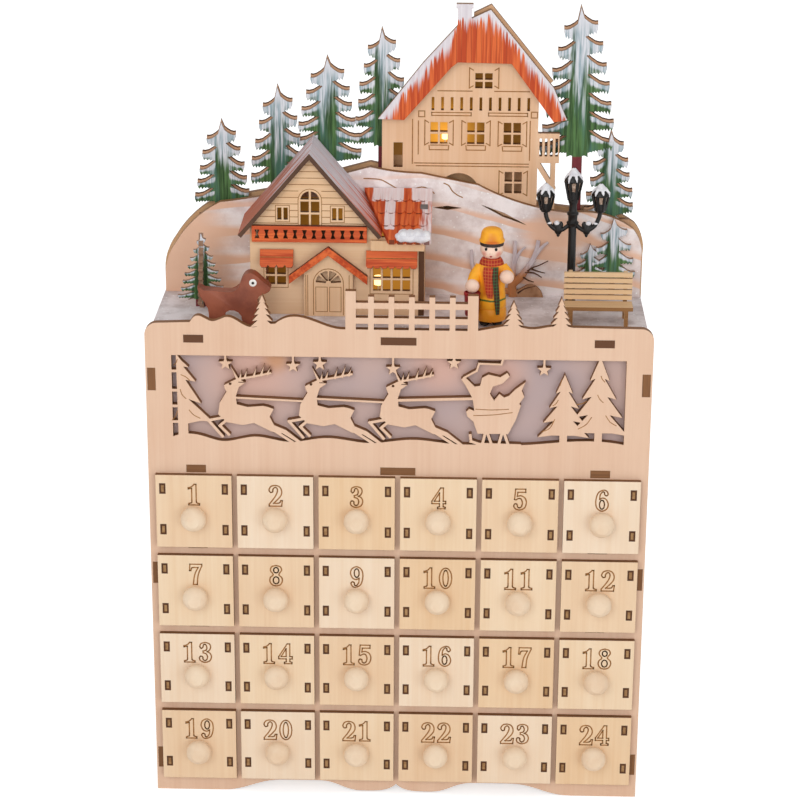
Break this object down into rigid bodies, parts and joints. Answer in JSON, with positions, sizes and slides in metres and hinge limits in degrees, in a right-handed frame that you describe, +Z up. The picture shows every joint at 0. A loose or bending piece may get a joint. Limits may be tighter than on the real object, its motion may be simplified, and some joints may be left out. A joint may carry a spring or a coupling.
{
  "type": "wooden advent calendar",
  "caption": "Plywood advent calendar: a case of numbered pull-out drawers under a lit fretwork window, with a snowy village scene of flat and turned pieces standing on its top.",
  "frame": {"origin": "middle of the calendar's box in plan, on the surface that it stands on", "axes": "+Z up, +X to the right seen from the front, drawers pull out along -Y"},
  "size_m": [0.26, 0.1042, 0.4179],
  "materials": {
    "plywood": "sanded, bare",
    "snow_board": "painted with glitter snow",
    "fir_green": "dry-brushed paint",
    "roof_orange": "stained, snow brushed",
    "figure_paint": "painted",
    "dog_paint": "painted",
    "bush_wood": "painted",
    "diffuser": "translucent, matte",
    "lamp_paint": "gloss black",
    "lamp_wire": "clear lamps",
    "black_plastic": "moulded",
    "switch_plastic": "moulded",
    "battery_case": "satin",
    "contact_steel": "plated"
  },
  "bodies": {
    "case": {"front_panel": "plywood", "back_panel": "plywood", "left_side": "plywood", "right_side": "plywood", "top_deck": "snow_board", "light_floor": "plywood", "base_board": "plywood", "shelves": "plywood", "dividers": "plywood", "diffuser_sheet": "diffuser", "hill_panel": "snow_board", "trees_left": "fir_green", "trees_right": "fir_green", "hill_trees": "fir_green", "chalet_front": "plywood", "chalet_roof": "roof_orange", "cottage_front": "plywood", "cottage_walls": "plywood", "cottage_roof": "roof_orange", "annex_roof": "roof_orange", "balcony_rail": "roof_orange", "porch_front": "plywood", "porch_roof": "roof_orange", "awnings": "roof_orange", "lamp_post": "lamp_paint", "bench": "plywood", "figure": "figure_paint", "dog": "dog_paint", "cross_tree": "fir_green", "bush": "bush_wood", "light_string": "lamp_wire", "battery_box": "black_plastic", "batteries": "battery_case", "battery_contacts": "contact_steel"},
    "drawer_01": {"drawer_01": "plywood"},
    "drawer_02": {"drawer_02": "plywood"},
    "drawer_03": {"drawer_03": "plywood"},
    "drawer_04": {"drawer_04": "plywood"},
    "drawer_05": {"drawer_05": "plywood"},
    "drawer_06": {"drawer_06": "plywood"},
    "drawer_07": {"drawer_07": "plywood"},
    "drawer_08": {"drawer_08": "plywood"},
    "drawer_09": {"drawer_09": "plywood"},
    "drawer_10": {"drawer_10": "plywood"},
    "drawer_11": {"drawer_11": "plywood"},
    "drawer_12": {"drawer_12": "plywood"},
    "drawer_13": {"drawer_13": "plywood"},
    "drawer_14": {"drawer_14": "plywood"},
    "drawer_15": {"drawer_15": "plywood"},
    "drawer_16": {"drawer_16": "plywood"},
    "drawer_17": {"drawer_17": "plywood"},
    "drawer_18": {"drawer_18": "plywood"},
    "drawer_19": {"drawer_19": "plywood"},
    "drawer_20": {"drawer_20": "plywood"},
    "drawer_21": {"drawer_21": "plywood"},
    "drawer_22": {"drawer_22": "plywood"},
    "drawer_23": {"drawer_23": "plywood"},
    "drawer_24": {"drawer_24": "plywood"},
    "battery_cover": {"battery_cover": "black_plastic"},
    "switch_slider": {"switch_slider": "switch_plastic"}
  },
  "joints": [
    {"name": "drawer_01_slide", "type": "slide", "parent": "case", "child": "drawer_01", "axis": [0, -1, 0], "range_m": [0, 0.08]},
    {"name": "drawer_02_slide", "type": "slide", "parent": "case", "child": "drawer_02", "axis": [0, -1, 0], "range_m": [0, 0.08]},
    {"name": "drawer_03_slide", "type": "slide", "parent": "case", "child": "drawer_03", "axis": [0, -1, 0], "range_m": [0, 0.08]},
    {"name": "drawer_04_slide", "type": "slide", "parent": "case", "child": "drawer_04", "axis": [0, -1, 0], "range_m": [0, 0.08]},
    {"name": "drawer_05_slide", "type": "slide", "parent": "case", "child": "drawer_05", "axis": [0, -1, 0], "range_m": [0, 0.08]},
    {"name": "drawer_06_slide", "type": "slide", "parent": "case", "child": "drawer_06", "axis": [0, -1, 0], "range_m": [0, 0.08]},
    {"name": "drawer_07_slide", "type": "slide", "parent": "case", "child": "drawer_07", "axis": [0, -1, 0], "range_m": [0, 0.08]},
    {"name": "drawer_08_slide", "type": "slide", "parent": "case", "child": "drawer_08", "axis": [0, -1, 0], "range_m": [0, 0.08]},
    {"name": "drawer_09_slide", "type": "slide", "parent": "case", "child": "drawer_09", "axis": [0, -1, 0], "range_m": [0, 0.08]},
    {"name": "drawer_10_slide", "type": "slide", "parent": "case", "child": "drawer_10", "axis": [0, -1, 0], "range_m": [0, 0.08]},
    {"name": "drawer_11_slide", "type": "slide", "parent": "case", "child": "drawer_11", "axis": [0, -1, 0], "range_m": [0, 0.08]},
    {"name": "drawer_12_slide", "type": "slide", "parent": "case", "child": "drawer_12", "axis": [0, -1, 0], "range_m": [0, 0.08]},
    {"name": "drawer_13_slide", "type": "slide", "parent": "case", "child": "drawer_13", "axis": [0, -1, 0], "range_m": [0, 0.08]},
    {"name": "drawer_14_slide", "type": "slide", "parent": "case", "child": "drawer_14", "axis": [0, -1, 0], "range_m": [0, 0.08]},
    {"name": "drawer_15_slide", "type": "slide", "parent": "case", "child": "drawer_15", "axis": [0, -1, 0], "range_m": [0, 0.08]},
    {"name": "drawer_16_slide", "type": "slide", "parent": "case", "child": "drawer_16", "axis": [0, -1, 0], "range_m": [0, 0.08]},
    {"name": "drawer_17_slide", "type": "slide", "parent": "case", "child": "drawer_17", "axis": [0, -1, 0], "range_m": [0, 0.08]},
    {"name": "drawer_18_slide", "type": "slide", "parent": "case", "child": "drawer_18", "axis": [0, -1, 0], "range_m": [0, 0.08]},
    {"name": "drawer_19_slide", "type": "slide", "parent": "case", "child": "drawer_19", "axis": [0, -1, 0], "range_m": [0, 0.08]},
    {"name": "drawer_20_slide", "type": "slide", "parent": "case", "child": "drawer_20", "axis": [0, -1, 0], "range_m": [0, 0.08]},
    {"name": "drawer_21_slide", "type": "slide", "parent": "case", "child": "drawer_21", "axis": [0, -1, 0], "range_m": [0, 0.08]},
    {"name": "drawer_22_slide", "type": "slide", "parent": "case", "child": "drawer_22", "axis": [0, -1, 0], "range_m": [0, 0.08]},
    {"name": "drawer_23_slide", "type": "slide", "parent": "case", "child": "drawer_23", "axis": [0, -1, 0], "range_m": [0, 0.08]},
    {"name": "drawer_24_slide", "type": "slide", "parent": "case", "child": "drawer_24", "axis": [0, -1, 0], "range_m": [0, 0.08]},
    {"name": "cover_pull", "type": "slide", "parent": "case", "child": "battery_cover", "axis": [0, 1, 0], "range_m": [0, 0.03]},
    {"name": "switch_slide", "type": "slide", "parent": "case", "child": "switch_slider", "axis": [1, 0, 0], "range_m": [0, 0.004]}
  ]
}
